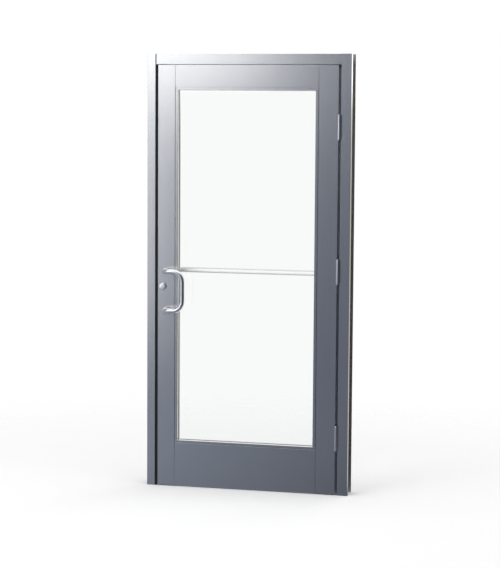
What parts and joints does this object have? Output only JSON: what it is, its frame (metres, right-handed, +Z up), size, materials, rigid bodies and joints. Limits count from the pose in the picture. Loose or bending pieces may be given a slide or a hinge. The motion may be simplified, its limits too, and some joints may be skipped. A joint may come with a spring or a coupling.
{
  "type": "glazed aluminium entrance door with frame",
  "caption": "Single-leaf aluminium entrance door, glazed in one light, hung on butt hinges in a tubular frame, with a bent pull, a push bar and a swinging deadbolt.",
  "frame": {"origin": "on the floor, at the middle of the doorway's width and of the leaf's thickness", "axes": "+Z up, +X along the doorway from the lock jamb to the hinge jamb, +Y from the pull side through the doorway to the push side"},
  "size_m": [1, 0.1704, 2.1],
  "materials": {
    "anodised_aluminium": "satin clear anodised extrusion",
    "black_rubber": "matt black synthetic rubber",
    "satin_hinge_steel": "satin plated steel",
    "satin_stainless": "satin stainless steel rod",
    "lock_chrome": "satin chrome plated brass",
    "zinc_plated_steel": "zinc plated steel",
    "clear_glass": "clear float glass"
  },
  "bodies": {
    "frame": {"lock_jamb": "anodised_aluminium", "hinge_jamb": "anodised_aluminium", "header": "anodised_aluminium", "shear_blocks": "anodised_aluminium", "shear_block_screws": "zinc_plated_steel", "lock_stop": "anodised_aluminium", "hinge_stop": "anodised_aluminium", "head_stop": "anodised_aluminium", "lock_weatherstrip": "black_rubber", "hinge_weatherstrip": "black_rubber", "head_weatherstrip": "black_rubber", "lock_jamb_seal": "black_rubber", "strike_plate": "satin_hinge_steel", "jamb_backing_plates": "zinc_plated_steel", "strike_screws": "satin_hinge_steel", "top_jamb_hinge_leaf": "satin_hinge_steel", "middle_jamb_hinge_leaf": "satin_hinge_steel", "bottom_jamb_hinge_leaf": "satin_hinge_steel", "hinge_pins": "satin_hinge_steel", "jamb_hinge_screws": "satin_hinge_steel"},
    "leaf": {"lock_stile": "anodised_aluminium", "hinge_stile": "anodised_aluminium", "top_rail": "anodised_aluminium", "bottom_rail": "anodised_aluminium", "corner_blocks": "anodised_aluminium", "tie_rods": "zinc_plated_steel", "outer_top_bead": "anodised_aluminium", "outer_bottom_bead": "anodised_aluminium", "outer_lock_bead": "anodised_aluminium", "outer_hinge_bead": "anodised_aluminium", "inner_top_bead": "anodised_aluminium", "inner_bottom_bead": "anodised_aluminium", "inner_lock_bead": "anodised_aluminium", "inner_hinge_bead": "anodised_aluminium", "outer_gasket": "black_rubber", "inner_gasket": "black_rubber", "pane": "clear_glass", "setting_blocks": "black_rubber", "top_door_hinge_leaf": "satin_hinge_steel", "middle_door_hinge_leaf": "satin_hinge_steel", "bottom_door_hinge_leaf": "satin_hinge_steel", "stile_backing_plates": "zinc_plated_steel", "door_hinge_screws": "satin_hinge_steel", "pull_handle": "satin_stainless", "push_bar": "satin_stainless", "handle_bolts": "satin_hinge_steel", "lock_case": "zinc_plated_steel", "lock_faceplate": "satin_hinge_steel", "lock_brackets": "zinc_plated_steel", "faceplate_screws": "satin_hinge_steel", "outer_cylinder": "lock_chrome", "inner_cylinder": "lock_chrome", "cylinder_rings": "lock_chrome", "bolt_pivot": "zinc_plated_steel"},
    "deadbolt": {"deadbolt": "satin_hinge_steel"},
    "thumbturn": {"thumbturn": "lock_chrome"},
    "key_plug": {"key_plug": "lock_chrome"}
  },
  "joints": [
    {"name": "leaf_swing", "type": "hinge", "parent": "frame", "child": "leaf", "pos_m": [0.44475, -0.0307, 1.05], "axis": [0, 0, 1], "range_deg": [0, 170]},
    {"name": "bolt_swing", "type": "hinge", "parent": "leaf", "child": "deadbolt", "pos_m": [-0.433, 0, 0.905], "axis": [0, -1, 0], "range_deg": [0, 90]},
    {"name": "key_turn", "type": "hinge", "parent": "leaf", "child": "key_plug", "pos_m": [-0.421, -0.02, 0.9755], "axis": [0, -1, 0], "range_deg": [0, 360]},
    {"name": "thumbturn_turn", "type": "hinge", "parent": "leaf", "child": "thumbturn", "pos_m": [-0.421, 0.02, 0.9755], "axis": [0, -1, 0], "range_deg": [0, 360]}
  ],
  "couplings": [
    {"joint": "key_turn", "follows": "bolt_swing", "ratio": 4},
    {"joint": "thumbturn_turn", "follows": "bolt_swing", "ratio": 4}
  ]
}
